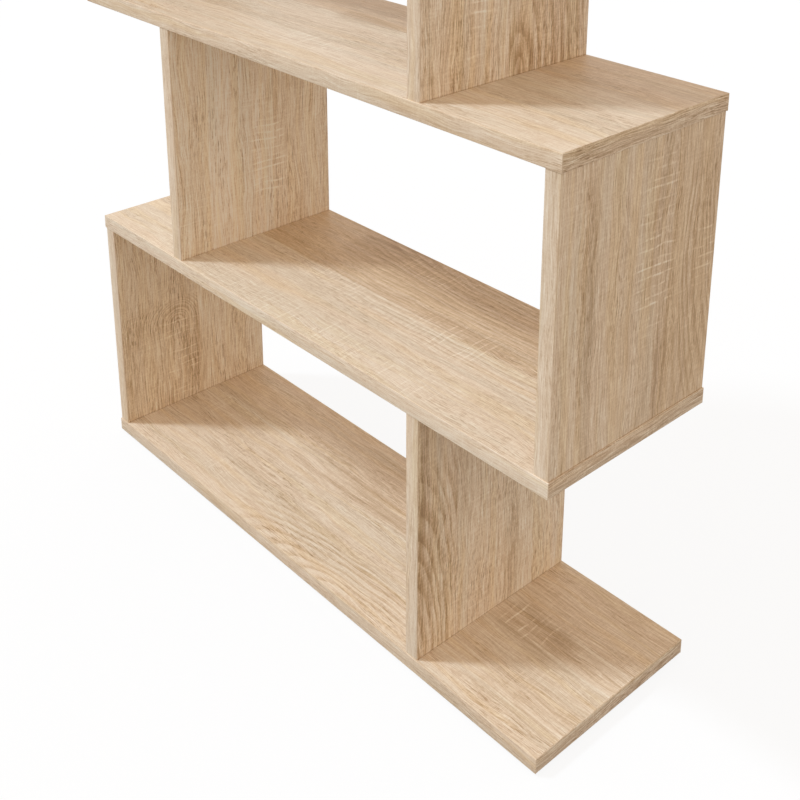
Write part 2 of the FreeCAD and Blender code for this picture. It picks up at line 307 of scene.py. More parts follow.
def oak_noise(sideways, length, width, number, detail):
    """Stretched noise of the oak group, on a layer of its own."""
    return stretched(oak, along, sideways, length, width,
                     calc(oak, "ADD", layer, number), detail)


bend = swing(oak, oak_noise(straight, 170, 60, 0.7, 1), BEND)
ripple = swing(oak, oak_noise(straight, 40, 18, 1.9, 0), RIPPLE)
across = calc(oak, "ADD", straight, calc(oak, "ADD", bend, ripple))
ring = use_group(oak, rings, Along=along, Across=across, Layer=layer,
                 **{label: given[label] for label in PITH})
early = calc(oak, "MULTIPLY", ring["Early wood"], given["Figure"])
dashes = use_group(oak, pores, Along=along, Across=across, Layer=layer, Early_wood=early)
sawn = use_group(oak, saw_marks, Along=along, Across=straight, Layer=layer)
faintly_sawn = ramp(oak, oak_noise(straight, 90, 60, 5.2, 0), 0.45, 0.70, 0.0, 0.25)
scratches = calc(oak, "MULTIPLY", sawn["Scratches"],
                 calc(oak, "ADD", given["Scratches"], faintly_sawn))
print("Groups inside the oak group:", [group.name for group in (rings, pores, saw_marks)])

# %% [markdown]
# ## One tone from dark to pale
#
# All parts add up to one tone. Each could have a colour of its own instead, mixed over the last,
# but then the parts fight. On one scale a pore in a dark plank is simply further down. The table
# goes from slow clouds as long as a hand to specks as fine as a pin, because wood has something
# to see at every distance. Contrast widens or narrows the whole grain round the plank's tone.

# %% Add up the tone
MIDDLE_TONE = 0.71
DARKENING_DEPTH = -1.1
# Each pattern: its length and width in millimetres, its layer, its detail and its weight.
grain_patterns = (
    (220, 60, 2.9, 0, 0.20),    # slow clouds
    (300, 22, 7.3, 1, 0.38),    # broad bands
    (260, 5.0, 0.4, 1, 0.42),   # streaks
    (60, 1.3, 6.1, 1, 0.62),    # fibres
    (9, 4.0, 3.7, 1, 0.10),     # mottling
    (26, 0.7, 8.2, 0, 1.55),    # fine fibres
    (2.5, 0.9, 4.6, 0, 0.55),   # specks
    (1.3, 26, 9.4, 0, 0.24),    # faint saw ripples
)
# Stains darken the tone with streaky edges, and so do the patches of painted shade.
streaky = ramp(oak, oak_noise(across, 170, 9, 4.1, 1), 0.36, 0.60, 0.25, 1.3)
grain = calc(oak, "MULTIPLY", calc(oak, "MULTIPLY", given["Stain"], streaky), DARKENING_DEPTH)
for length, width, number, detail, weight in grain_patterns:
    spots = oak_noise(across, length, width, number, detail)
    grain = calc(oak, "MULTIPLY_ADD", swing(oak, spots, 1.0), weight, grain)
for part, weight in ((early, -0.36), (dashes["Dark dashes"], -0.88),
                     (dashes["Pale dashes"], 0.30), (scratches, 0.60)):
    grain = calc(oak, "MULTIPLY_ADD", part, weight, grain)
tone = calc(oak, "MULTIPLY_ADD", grain, given["Contrast"],
            calc(oak, "ADD", given["Tone"], MIDDLE_TONE))
print("Patterns in the grain:", len(grain_patterns))

# %% [markdown]
# ## From tone to colour
#
# A colour ramp turns the tone into wood. Real boards never keep one hue, though, so two slow
# patterns tint it: some streaks turn greyish and others golden, and early wood is golden too. The
# Grey value tips the balance of a whole plank. Above zero it adds grey, and below it adds gold.

# %% Colour, roughness and height
# Each stop: its place on the ramp and its colour.
wood_colors = (
    (0.0, (0.380, 0.240, 0.130, 1)),
    (0.2, (0.520, 0.350, 0.205, 1)),
    (0.375, (0.640, 0.460, 0.295, 1)),
    (0.525, (0.765, 0.585, 0.410, 1)),
    (0.7, (0.880, 0.725, 0.550, 1)),
    (0.8, (0.930, 0.790, 0.620, 1)),
    (1.0, (0.980, 0.890, 0.760, 1)),
)
RAMP_START, RAMP_RISE = 0.2, 0.5  # where tone zero lies on the ramp, and how far it is to tone 1
GREY_TINT, GOLD_TINT = (0.93, 0.975, 1.0, 1), (1.0, 0.97, 0.885, 1)

on_ramp = calc(oak, "MULTIPLY_ADD", tone, RAMP_RISE, RAMP_START)
wood = add_node(oak, "ShaderNodeValToRGB", {0: on_ramp})
stops = wood.color_ramp.elements
for stop, (position, color) in zip(stops, (wood_colors[0], wood_colors[-1])):
    stop.position, stop.color = position, color
for position, color in wood_colors[1:-1]:
    stops.new(position).color = color


def tinted(color, amount, tint):
    """A colour multiplied by a tint, by an amount from 0 to 1."""
    return add_node(oak, "ShaderNodeMix", {0: amount, 6: color, 7: tint},
                    data_type="RGBA", blend_type="MULTIPLY").outputs[2]


greyish = ramp(oak, oak_noise(across, 240, 22, 5.5, 1), 0.40, 0.66, 0.0, 0.5)
cooled = tinted(wood.outputs[0], calc(oak, "ADD", given["Grey"], greyish), GREY_TINT)
golden = ramp(oak, oak_noise(across, 260, 12, 7.7, 1), 0.45, 0.68)
golden = calc(oak, "MULTIPLY_ADD", early, 0.6, golden)
warmed = tinted(cooled, calc(oak, "SUBTRACT", golden, given["Grey"]), GOLD_TINT)
feed(oak, made["Color"], warmed)
feed(oak, made["Roughness"], calc(oak, "MULTIPLY_ADD", dashes["Dark dashes"], 0.12, 0.50))
feed(oak, made["Height"], calc(oak, "MULTIPLY_ADD", dashes["Dark dashes"], -1.0, scratches))
print("Nodes in the oak group:", len(oak.nodes), "and stops in its ramp:", len(stops))

# %% [markdown]
# ## Boards and their planks
#
# Each board is cut from its own place in the decor, so it shows its own few planks. A small table
# says how wide they are, how dark, and where each one's pith lies. That is how the real decor is
# drawn, and it puts the arches and the seams where they are seen on this unit. A random draw for
# every board would be shorter, but the arches would land anywhere. Places are in millimetres:
# along the grain from the board's left end or foot, and across from its front edge.

# %% Planks of each board
BACK_EDGE = 240
STRAIGHT = (-150, 0, 0, 6)  # a pith so far off that the grain runs straight
# Each plank: its far edge, its tone, how grey it is, and its pith's place, slope and ring width.
planks = {
    "shelf_1": [(57, 0.11, 0.2, (-8, 520, -0.26, 8)), (155, 0.02, 0.3, STRAIGHT),
                (BACK_EDGE, -0.14, 0.1, STRAIGHT)],
    "shelf_2": [(37, 0.14, 0.3, STRAIGHT), (125, 0.09, 0.2, (190, 480, 0.15, 7)),
                (BACK_EDGE, -0.25, -0.2, (250, 560, -0.2, 7))],
    "shelf_3": [(72, 0.12, 0.3, STRAIGHT), (155, -0.04, 0.5, STRAIGHT),
                (BACK_EDGE, -0.22, 0.1, STRAIGHT)],
    "upright_1_left": [(125, 0.12, -0.5, (88, 130, 1.0, 4.5)),
                       (BACK_EDGE, 0.23, -0.4, STRAIGHT)],
    "upright_1_right": [(57, 0.22, 0.0, (-6, -10, 0.24, 8)), (155, 0.18, 0.0, STRAIGHT),
                        (BACK_EDGE, 0.32, 0.0, STRAIGHT)],
    "upright_2_left": [(46, 0.39, -0.3, STRAIGHT), (148, 0.52, -0.1, STRAIGHT),
                       (BACK_EDGE, 0.26, -0.3, STRAIGHT)],
    "upright_2_right": [(51, 0.03, -0.05, STRAIGHT), (118, 0.01, 0.0, STRAIGHT),
                        (165, -0.01, -0.1, STRAIGHT),
                        (BACK_EDGE, -0.10, -0.4, (260, 200, -0.3, 8))],
    "upright_3_right": [(28, 0.16, 0.0, STRAIGHT), (76, 0.03, 0.0, STRAIGHT),
                        (118, 0.18, 0.0, STRAIGHT), (BACK_EDGE, 0.03, 0.0, (135, -8, 0.32, 10))],
}
print("Boards with their own planks:", len(planks))

# %% [markdown]
# ## Stains, painted shade and saw marks of each board
#
# Dark stains and rows of saw marks lie in patches on the boards, and one patch of painted shade
# darkens the shadow beside an upright. Two more tables say where. A painted mask would place them
# as well, but it would be one more picture to keep with the model, and a patch in four numbers is
# easy to move.

# %% Stains, painted shade and scratched patches
# Each patch: from and to along, from and to across, and how strong it is.
stains_and_painted_shade = {
    "shelf_1": [(220, 480, 126, 160, 0.45), (150, 420, 58, 72, 0.2), (636, 730, 100, 158, 0.5),
                (700, 810, 100, 156, 0.2), (690, 820, -20, 100, 0.2)],
    # The second shelf's patch from 195 to 265 along and 40 to 160 across is painted shade, for the
    # shadow beside its upright.
    "shelf_2": [(480, 640, 122, 148, 0.22), (290, 380, 165, 250, 0.3), (380, 520, 155, 175, 0.2),
                (230, 440, 214, 250, 0.3), (195, 265, 40, 160, 0.15), (-60, 200, -60, 300, 0.14)],
    "shelf_3": [(320, 430, 140, 178, 0.4)],
    "upright_1_left": [(20, 130, 98, 140, 0.25)],
    "upright_1_right": [(0, 320, -20, 22, 0.35), (150, 330, -20, 45, 0.18),
                        (140, 300, 50, 100, 0.15), (0, 200, 138, 157, 0.15)],
    "upright_2_left": [(250, 310, 120, 250, 0.3), (150, 320, 110, 250, 0.12)],
    "upright_2_right": [(0, 320, 34, 53, 0.35), (0, 300, 132, 166, 0.3),
                        (-20, 120, 150, 165, 0.3), (0, 300, 186, 202, 0.1)],
    "upright_3_right": [(-10, 48, 118, 152, 0.15), (0, 300, 178, 236, 0.1)],
}
scratched = {
    "shelf_1": [(168, 205, 5, 55, 0.9), (640, 706, 108, 156, 1.7), (36, 85, 105, 152, 0.8)],
    "shelf_2": [(496, 612, 86, 152, 1.1), (380, 500, 188, 236, 0.8), (230, 610, -10, 42, 0.8),
                (300, 430, 92, 128, 0.7)],
    "shelf_3": [(340, 450, 36, 74, 0.9)],
    "upright_1_left": [(10, 95, 70, 124, 0.9), (106, 134, 62, 124, 1.4)],
    "upright_2_left": [(44, 172, 112, 162, 1.3), (150, 260, 60, 90, 0.4)],
    "upright_2_right": [(96, 284, 112, 168, 1.2), (134, 192, 200, 234, 1.0)],
    "upright_3_right": [(16, 84, 60, 90, 0.7)],
}
print("Stains:", sum(map(len, stains_and_painted_shade.values())), "saw marks:", sum(map(len, scratched.values())))

# %% [markdown]
# ## From a place on the board to its plank
#
# A material can't look things up in a table, so the tables become nodes. The value of a plank is
# the first plank's, plus each change on the way across, switched on at its seam. A patch is a
# box with round corners and soft edges. Image masks or vertex colours could do both, but the
# boards have only a few large faces, and nodes stay sharp at any distance.

# %% Read the tables with nodes
SQUARENESS = 3.0  # 2 would make a patch an oval, and a high number a sharp-cornered box
FADED_OUT = 1.8  # where a patch ends, counted from 0 in its middle to 1 on its line


def distance_to(tree, value, line):
    return calc(tree, "ABSOLUTE", calc(tree, "SUBTRACT", value, line))


def by_plank(tree, steps, values):
    """The value of the plank that a spot lies on: the first value, plus each change on the way."""
    total = values[0]
    for step, before, after in zip(steps, values, values[1:]):
        if after != before:
            total = calc(tree, "MULTIPLY_ADD", step, after - before, total)
    return total


def in_patches(tree, along, across, patches):
    """How strongly a spot lies in any of the patches, which have round corners and soft edges."""
    total = 0.0
    for from_along, to_along, from_across, to_across, strength in patches:
        off = 0.0
        for value, low, high in ((along, from_along, to_along), (across, from_across, to_across)):
            off_middle = distance_to(tree, value, (low + high) / 2)
            reach = calc(tree, "DIVIDE", off_middle, (high - low) / 2)
            off = calc(tree, "ADD", off, calc(tree, "POWER", reach, SQUARENESS))
        inside = ramp(tree, off, 0.0, FADED_OUT, 1.0, 0.0)
        total = calc(tree, "MULTIPLY_ADD", inside, strength, total)
    return total


print("Table readers: by_plank, in_patches")

# %% [markdown]
# ## The oak finish
#
# The decor is printed paper under a matt resin, pressed on a plate that echoes its pores. So the
# same group gives the colour, a roughness that is a little higher in the pores, and a height for
# a very shallow bump. Real dents in the mesh would cost millions of faces for a depth that the
# finger hardly feels.

# %% Oak finish
PORE_DEPTH, PORE_STRENGTH = 0.0003, 0.25  # the depth is in metres


def new_material(name):
    material = bpy.data.materials.new(name)
    material.use_nodes = True
    return material


def finish_shader(material, color, roughness, height, strength, depth):
    """Links a colour, a roughness and a bump to a material's shader. The depth is in metres."""
    tree = material.node_tree
    bump = add_node(tree, "ShaderNodeBump",
                    {"Height": height, "Strength": strength, "Distance": depth})
    shader = tree.nodes["Principled BSDF"]
    for label, value in (("Base Color", color), ("Roughness", roughness),
                         ("Normal", bump.outputs[0])):
        tree.links.new(value, shader.inputs[label])


def oak_finish(material, **looks):
    """Links the decor to a material's shader, with a fine bump for its pores and saw marks."""
    decor = use_group(material.node_tree, oak, **looks)
    finish_shader(material, decor["Color"], decor["Roughness"], decor["Height"],
                  PORE_STRENGTH, PORE_DEPTH)


print("Pore depth in millimetres:", PORE_DEPTH * 1000)

# %% [markdown]
# ## Planks for the boards out of view
#
# The photograph's edge cuts off the upper boards. They get planks from a random draw with a fixed
# seed, so they differ from each other and still come out alike each time. Using one of the lower
# boards twice would be simpler, but the eye finds a repeated knot at once.

# %% Names, contrasts and the random draw
shelf_names = [f"shelf_{number}" for number in range(1, 6)]
upright_names = [f"upright_{tier}_{side}" for tier in range(1, 5) for side in ("left", "right")]
# The shelves' grain is calmer than the uprights', with bolder rings.
contrasts = {**dict.fromkeys(shelf_names, 0.64), "upright_2_right": 0.86}
UPRIGHT_CONTRAST = 1.12
SHELF_FIGURE, UPRIGHT_FIGURE = 1.35, 1.1
draw = random.Random(11)


def drawn_planks():
    """Three planks for a board that the picture doesn't show."""
    edges = (draw.uniform(45, 85), draw.uniform(125, 165), BACK_EDGE)
    return [(edge, draw.uniform(-0.1, 0.12), draw.uniform(0, 0.4),
             (draw.uniform(-160, 360), draw.uniform(0, 600), draw.uniform(-0.4, 0.4), 7))
            for edge in edges]


print("Boards:", len(shelf_names), "shelves and", len(upright_names), "uprights")

# %% [markdown]
# ## One material for each board
#
# Each board reads its own place, from its own lower corner and turned so that X runs along the
# grain. Third comes the depth into the board, which shifts the layer slowly, so the end of a
# board doesn't show stretched lines. Planks meet in a thin dark seam. An upright also darkens at
# its foot, as painted shadow for the shade in the joint. One material for all the boards would need
# an attribute on each mesh to tell them apart, and the boards' meshes are left as they are.

# %% Places in millimetres
MILLIMETRES = 1000.0  # in a metre


def in_millimetres(tree, place):
    """A place in metres, as one in millimetres."""
    return add_node(tree, "ShaderNodeVectorMath", {0: place, "Scale": MILLIMETRES},
                    operation="SCALE").outputs[0]


def axes_of(tree, place):
    """The three coordinates of a place in metres, in millimetres."""
    return add_node(tree, "ShaderNodeSeparateXYZ", {0: in_millimetres(tree, place)}).outputs


def board_place(tree, name, grain):
    """The place on a board: from its own lower corner, and turned so that X is its grain."""
    width = Vector((0, 1, 0))
    turn = Matrix((grain, width, grain.cross(width)))
    corner = Vector(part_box(name)[0])
    return add_node(tree, "ShaderNodeMapping", {
        "Vector": add_node(tree, "ShaderNodeTexCoord").outputs["Object"],
        "Rotation": turn.to_euler(), "Location": turn @ -corner}).outputs[0]


print("Place readers: in_millimetres, axes_of, board_place")

# %% Board material
SEAM_SHADE, FOOT_PAINTED_SHADOW = 0.12, 0.6  # how much darker the tone is there
DRIFT = 0.3  # how fast the pattern changes on the way into a board


def board_oak(name, grain):
    """Oak for one board, with its grain along a direction and its planks side by side along Y."""
    material = new_material(name + "_oak")
    tree = material.node_tree
    along, across, into = axes_of(tree, board_place(tree, name, grain))
    edges, tones, greys, piths = zip(*planks.get(name) or drawn_planks())
    seams = edges[:-1]
    steps = [calc(tree, "GREATER_THAN", across, seam) for seam in seams]
    tone = by_plank(tree, steps, tones)
    for seam in seams:
        line = ramp(tree, distance_to(tree, across, seam), 0.5, 2.2, SEAM_SHADE, 0.0)
        tone = calc(tree, "SUBTRACT", tone, line)
    # Painted shadow: an upright darkens at its foot, where the joint on the shelf below lies in
    # shade.
    if name in upright_names:
        tone = calc(tree, "SUBTRACT", tone, ramp(tree, along, 0.3, 1.6, FOOT_PAINTED_SHADOW, 0.0))
    pith = {label: by_plank(tree, steps, values) for label, values in zip(PITH, zip(*piths))}
    oak_finish(
        material, Along=along, Across=across, Tone=tone, Grey=by_plank(tree, steps, greys),
        Layer=calc(tree, "MULTIPLY_ADD", into, DRIFT, draw.uniform(0, 90)), **pith,
        Contrast=contrasts.get(name, UPRIGHT_CONTRAST),
        Figure=SHELF_FIGURE if name in shelf_names else UPRIGHT_FIGURE,
        Stain=in_patches(tree, along, across, stains_and_painted_shade.get(name, [])),
        Scratches=in_patches(tree, along, across, scratched.get(name, [])),
    )
    print(f"{name}: {len(edges)} planks, {len(tree.nodes)} nodes")
    return material


# %% Dress the boards
RIGHT, UP = Vector((1, 0, 0)), Vector((0, 0, 1))


def dress(node, material):
    """Gives a CAD node one material."""
    nodes[node].data.materials.clear()
    nodes[node].data.materials.append(material)


for name in shelf_names:
    dress(name, board_oak(name, RIGHT))
for name in upright_names:
    dress(name, board_oak(name, UP))
print("Boards dressed:", len(shelf_names + upright_names))

# %% [markdown]
# ## Growing pieces with Geometry Nodes
#
# The unit has 36 edge bands and 30 small round pieces that show, and each kind repeats one shape.
# So each kind is one Geometry Nodes tree. It reads a cloud of single points, one for each piece,
# and puts the shape on every point. The points come from the CAD nodes, so nothing is placed by
# eye. A loop that copies objects would do it too, but a tree keeps the shape's sizes as inputs.

# %% Trees for growing
GEOMETRY = "NodeSocketGeometry"
INTEGER = "NodeSocketInt"
MATERIAL = "NodeSocketMaterial"


def new_tree(name, sizes):
    """A Geometry Nodes tree that reads points, a material and named sizes. Counts are whole."""
    inputs = [("Points", GEOMETRY, None), ("Material", MATERIAL, None)]
    inputs += [(label, INTEGER if isinstance(size, int) else FLOAT, size)
               for label, size in sizes.items()]
    return new_group("GeometryNodeTree", name, inputs, [("Result", GEOMETRY)])


def soft_corners(tree, mesh, sharp_from=35):
    """Shades smooth over gentle edges and keeps the others sharp."""
    angle = add_node(tree, "GeometryNodeInputMeshEdgeAngle").outputs["Unsigned Angle"]
    gentle = calc(tree, "LESS_THAN", angle, math.radians(sharp_from))
    smooth = add_node(tree, "GeometryNodeSetShadeSmooth", {"Geometry": mesh})
    return add_node(tree, "GeometryNodeSetShadeSmooth", {
        "Geometry": smooth.outputs[0], "Shade Smooth": gentle}, domain="EDGE").outputs[0]


def put_on_points(tree, given, made, shape, after=None, **placing):
    """Ends a tree: the shape on every point, made real and given its material."""
    copies = add_node(tree, "GeometryNodeInstanceOnPoints",
                      {"Points": given["Points"], "Instance": shape, **placing})
    real = add_node(tree, "GeometryNodeRealizeInstances", {0: copies.outputs[0]}).outputs[0]
    if after:
        real = after(real)
    finished = add_node(tree, "GeometryNodeSetMaterial",
                        {"Geometry": real, "Material": given["Material"]})
    feed(tree, made["Result"], finished.outputs[0])


print("Tree helpers: new_tree, soft_corners, put_on_points")

# %% [markdown]
# ## From tree to plain mesh
#
# After a tree has run, its result is kept as a plain mesh and the modifier goes, so the piece is
# the same wherever it is opened. The Apply button would do that too, but it works on whatever is
# selected. The volume is measured as a test: it comes out negative if the faces point inwards,
# and wrong if the shape isn't closed.

# %% Grow a piece
CUBIC_MILLIMETRES = 1e9  # in a cubic metre


def new_object(name, data):
    """An object for a mesh, a camera or a lamp, put in the scene."""
    made = bpy.data.objects.new(name, data)
    bpy.context.scene.collection.objects.link(made)
    return made


def grow(name, tree, points, material, replaced, sizes, attributes=None):
    """Runs a tree on some points and keeps the result as a plain mesh in place of CAD nodes."""
    mesh = bpy.data.meshes.new(name)
    mesh.from_pydata(points, [], [])
    for label, (kind, values) in (attributes or {}).items():
        column = mesh.attributes.new(label, kind, "POINT")
        for item, value in zip(column.data, values):
            setattr(item, "vector" if kind == "FLOAT_VECTOR" else "value", value)
    piece = new_object(name, mesh)
    modifier = piece.modifiers.new(name, "NODES")
    modifier.node_group = tree
    values = {"Material": material, **sizes}
    for item in tree.interface.items_tree:
        if item.in_out == "INPUT" and item.name in values:
            modifier[item.identifier] = values[item.name]
    evaluated = piece.evaluated_get(bpy.context.evaluated_depsgraph_get())
    plain = bpy.data.meshes.new_from_object(evaluated)
    plain.name = name
    piece.modifiers.remove(modifier)
    piece.data = plain
    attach(piece, "root")
    for node in replaced:
        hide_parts(node)
    solid = bmesh.new()
    solid.from_mesh(plain)
    volume = solid.calc_volume(signed=True) * CUBIC_MILLIMETRES
    print(f"{name}: {len(plain.polygons)} faces, {volume:.0f} cubic mm")
    solid.free()


# %% [markdown]
# ## Edge bands
#
# A band is a strip of the same decor, 1 mm thick, glued round the raw edge of a board. Its outer
# corners are scraped round, and that small round catches the light as a thin bright line. Cubes
# with a bevel could do it, but each length would need its own. Here a fillet rounds only the two
# outer corners of a rectangle, a straight path carries it, and each point stretches one unit
# length to its own.

# %% Edge band tree
band_sizes = {"Thickness": 0.001, "Height": 0.018, "Corner radius": 0.0008, "Corner steps": 4}

band_tree, given, made = new_tree("Edge bands", band_sizes)
rectangle = add_node(band_tree, "GeometryNodeCurvePrimitiveQuadrilateral",
                     {"Width": given["Thickness"], "Height": given["Height"]})
position = add_node(band_tree, "GeometryNodeInputPosition").outputs[0]
outward = add_node(band_tree, "ShaderNodeSeparateXYZ", {0: position}).outputs[0]
outer_only = calc(band_tree, "MULTIPLY", calc(band_tree, "GREATER_THAN", outward, 0.0),
                  given["Corner radius"])
rounded = add_node(band_tree, "GeometryNodeFilletCurve", {
    "Curve": rectangle.outputs[0], "Count": given["Corner steps"], "Radius": outer_only,
}, mode="POLY")
path = add_node(band_tree, "GeometryNodeCurvePrimitiveLine",
                {"Start": (0, 0, -0.5), "End": (0, 0, 0.5)})
strip_mesh = add_node(band_tree, "GeometryNodeCurveToMesh", {
    "Curve": path.outputs[0], "Profile Curve": rounded.outputs[0], "Fill Caps": True})
own_place = add_node(band_tree, "GeometryNodeStoreNamedAttribute", {
    "Geometry": soft_corners(band_tree, strip_mesh.outputs[0], 30), "Name": "own_place",
    "Value": position}, data_type="FLOAT_VECTOR")
print("Nodes for one unit length of band:", len(band_tree.nodes))

# %% [markdown]
# ## The grain of a band
#
# A band's decor runs along the band, whichever way that turns. Object coordinates know nothing of
# a band's own direction, so the tree writes where each spot lies along, across and into its own
# band, and keeps it as an attribute of the mesh. The material reads that instead.

# %% Write the grain
def named(tree, label, kind="FLOAT"):
    """Reads an attribute by name."""
    return add_node(tree, "GeometryNodeInputNamedAttribute", {"Name": label},
                    data_type=kind).outputs["Attribute"]


def write_grain(real):
    """Stores each spot's place along, across and into its own band, in metres."""
    own = add_node(band_tree, "ShaderNodeSeparateXYZ",
                   {0: named(band_tree, "own_place", "FLOAT_VECTOR")}).outputs
    run = calc(band_tree, "MULTIPLY_ADD", own[2], named(band_tree, "length"),
               named(band_tree, "start"))
    grain = add_node(band_tree, "ShaderNodeCombineXYZ", {0: run, 1: own[1], 2: own[0]})
    return add_node(band_tree, "GeometryNodeStoreNamedAttribute", {
        "Geometry": real, "Name": "grain", "Value": grain.outputs[0],
    }, data_type="FLOAT_VECTOR").outputs[0]


stretch = add_node(band_tree, "ShaderNodeCombineXYZ",
                   {0: 1.0, 1: 1.0, 2: named(band_tree, "length")})
turning = add_node(band_tree, "FunctionNodeEulerToRotation",
                   {0: named(band_tree, "turn", "FLOAT_VECTOR")})
put_on_points(band_tree, given, made, own_place.outputs[0], write_grain,
              Scale=stretch.outputs[0], Rotation=turning.outputs[0])
print("Nodes in the whole band tree:", len(band_tree.nodes))

# %% [markdown]
# ## The oak of the bands
#
# All bands share one material, because they come off one roll. Each has a shade of its own, which
# it carries as an attribute, where separate materials would come to 36. The bands on the shelf
# ends are the darkest, and their print is bolder than the fronts', so the contrast steps up below
# a certain shade.

# %% Band material
END_SHADE, PLAIN_SHADE = -0.18, 0.04
front_shades = {"shelf_1": -0.08, "shelf_2": 0.16, "shelf_3": 0.00}
BOLD_BELOW = -0.1  # the shade under which a band's print is bold
BAND_CONTRAST, BOLDER = 0.65, 0.55

band_oak = new_material("edge_band_oak")
tree = band_oak.node_tree
grain = add_node(tree, "ShaderNodeAttribute", attribute_name="grain").outputs["Vector"]
along, across, into = axes_of(tree, grain)
shade = add_node(tree, "ShaderNodeAttribute", attribute_name="shade").outputs["Fac"]
bold = calc(tree, "LESS_THAN", shade, BOLD_BELOW)
oak_finish(band_oak, Along=along, Across=across, Layer=into, Tone=shade, Grey=0.1,
           Figure=0.6, Contrast=calc(tree, "MULTIPLY_ADD", bold, BOLDER, BAND_CONTRAST),
           **dict(zip(PITH, STRAIGHT)))
print("Nodes in the band material:", len(tree.nodes))

# %% Grow the bands
LEFT, FRONT, BACK = Vector((-1, 0, 0)), Vector((0, -1, 0)), Vector((0, 1, 0))
BAND_THICKNESS = band_sizes["Thickness"]


def band_on(low, high, outward, run):
    """Middle, length and turn of the band on one side of a box, between its outer corners."""
    middle = (low + high) / 2
    reach = (high - low) / 2
    away = abs(reach.dot(outward)) - BAND_THICKNESS / 2
    length = 2 * abs(reach.dot(run))
    turn = Matrix((outward, run.cross(outward), run)).transposed().to_euler()
    return middle + outward * away, length, turn


for name in shelf_names + upright_names:
    low, high = (Vector(corner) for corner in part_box(name + "_bands"))
    run = RIGHT if name in shelf_names else UP
    bands = [band_on(low, high, side, run) for side in (FRONT, BACK)]
    shades = [front_shades.get(name, PLAIN_SHADE), PLAIN_SHADE]
    if name in shelf_names:
        inner = Vector((0, BAND_THICKNESS, 0))
        bands += [band_on(low + inner, high - inner, side, BACK) for side in (LEFT, RIGHT)]
        shades += [END_SHADE, END_SHADE]
    middles, lengths, turns = zip(*bands)
    starts = [draw.uniform(-3, 3) for band in bands]
    grow(name + "_edge_bands", band_tree, middles, band_oak, [name + "_bands"],
         band_sizes, {"length": ("FLOAT", lengths), "turn": ("FLOAT_VECTOR", turns),
                      "shade": ("FLOAT", shades), "start": ("FLOAT", starts)})

# %% [markdown]
# ## Turning round pieces
#
# Screws, covers and glides are all turned: half of their outline swung round an axis. A Screw
# modifier could swing a hand-made outline, but then its sizes would be buried in vertices. In
# nodes, the outline's corners are named sizes. A grid with one row for each outline point and one
# column for each step of the turn is bent round, and merging closes its seam and its poles.

# %% Spin group
WHOLE_TURN = -2 * math.pi  # backwards, so that the faces point outwards
SAME_PLACE = 0.000001  # metres

spin, given, made = new_group(
    "GeometryNodeTree", "Spin", [("Outline", GEOMETRY, None), ("Sides", INTEGER, 32)],
    [("Mesh", GEOMETRY)],
)
rows = add_node(spin, "GeometryNodeAttributeDomainSize", {0: given["Outline"]}, component="CURVE")
columns = calc(spin, "ADD", given["Sides"], 1)
grid = add_node(spin, "GeometryNodeMeshGrid", {
    "Vertices X": rows.outputs["Point Count"], "Vertices Y": columns})
index = add_node(spin, "GeometryNodeInputIndex").outputs[0]
row = calc(spin, "FLOOR", calc(spin, "DIVIDE", calc(spin, "ADD", index, 0.5), columns))
column = calc(spin, "SUBTRACT", index, calc(spin, "MULTIPLY", row, columns))
corner = add_node(spin, "GeometryNodeSampleIndex", {
    "Geometry": given["Outline"], "Index": row,
    "Value": add_node(spin, "GeometryNodeInputPosition").outputs[0]}, data_type="FLOAT_VECTOR")
share = calc(spin, "DIVIDE", column, given["Sides"])
turned = add_node(spin, "ShaderNodeVectorRotate", {
    "Vector": corner.outputs[0], "Angle": calc(spin, "MULTIPLY", share, WHOLE_TURN),
}, rotation_type="Z_AXIS")
bent = add_node(spin, "GeometryNodeSetPosition",
                {"Geometry": grid.outputs[0], "Position": turned.outputs[0]})
closed = add_node(spin, "GeometryNodeMergeByDistance",
                  {"Geometry": bent.outputs[0], "Distance": SAME_PLACE})
feed(spin, made["Mesh"], soft_corners(spin, closed.outputs[0]))
print("Nodes in the spin group:", len(spin.nodes))

# %% [markdown]
# ## Outlines from named sizes
#
# An outline is a curve through a few corners, and each corner may be rounded by its own radius. A
# curve drawn by hand would fix the corners for good. Here they are points that nodes move to
# their places, so an outline follows the sizes of its tree.

# %% Outlines
def choose(tree, kind, values):
    """One value for each point, by its index."""
    node = add_node(tree, "GeometryNodeIndexSwitch", data_type=kind)
    while len(node.index_switch_items) < len(values):
        node.index_switch_items.new()
    tree.links.new(add_node(tree, "GeometryNodeInputIndex").outputs[0], node.inputs[0])
    for number, value in enumerate(values):
        if isinstance(value, bpy.types.NodeSocket):
            tree.links.new(value, node.inputs[number + 1])
        else:
            node.inputs[number + 1].default_value = value
    return node.outputs[0]


def polyline(tree, corners):
    """A curve through corners, each given as its three coordinates."""
    points = add_node(tree, "GeometryNodePoints", {"Count": len(corners)})
    places = [add_node(tree, "ShaderNodeCombineXYZ", enumerate(corner)).outputs[0]
              for corner in corners]
    placed = add_node(tree, "GeometryNodeSetPosition",
                      {"Geometry": points.outputs[0], "Position": choose(tree, "VECTOR", places)})
    return add_node(tree, "GeometryNodePointsToCurves", {0: placed.outputs[0]}).outputs[0]


def spun(tree, corners, roundings, sides, steps=3):
    """Turns an outline of (radius, height) corners, each rounded by its own radius."""
    smooth = add_node(tree, "GeometryNodeFilletCurve", {
        "Curve": polyline(tree, [(radius, 0.0, height) for radius, height in corners]),
        "Count": steps, "Radius": choose(tree, "FLOAT", roundings), "Limit Radius": True,
    }, mode="POLY")
    made = tree.nodes.new("GeometryNodeGroup")
    made.node_tree = spin
    tree.links.new(smooth.outputs[0], made.inputs["Outline"])
    tree.links.new(sides, made.inputs["Sides"])
    return made.outputs[0]


print("Outline helpers: choose, polyline, spun")

# %% [markdown]
# ## A bar with a cross for its section
#
# A screw's driver recess and the blade behind a cover are the same shape, once cut away and once
# added. It is a cross pushed along a short path. Two crossed boxes would have a seam inside.

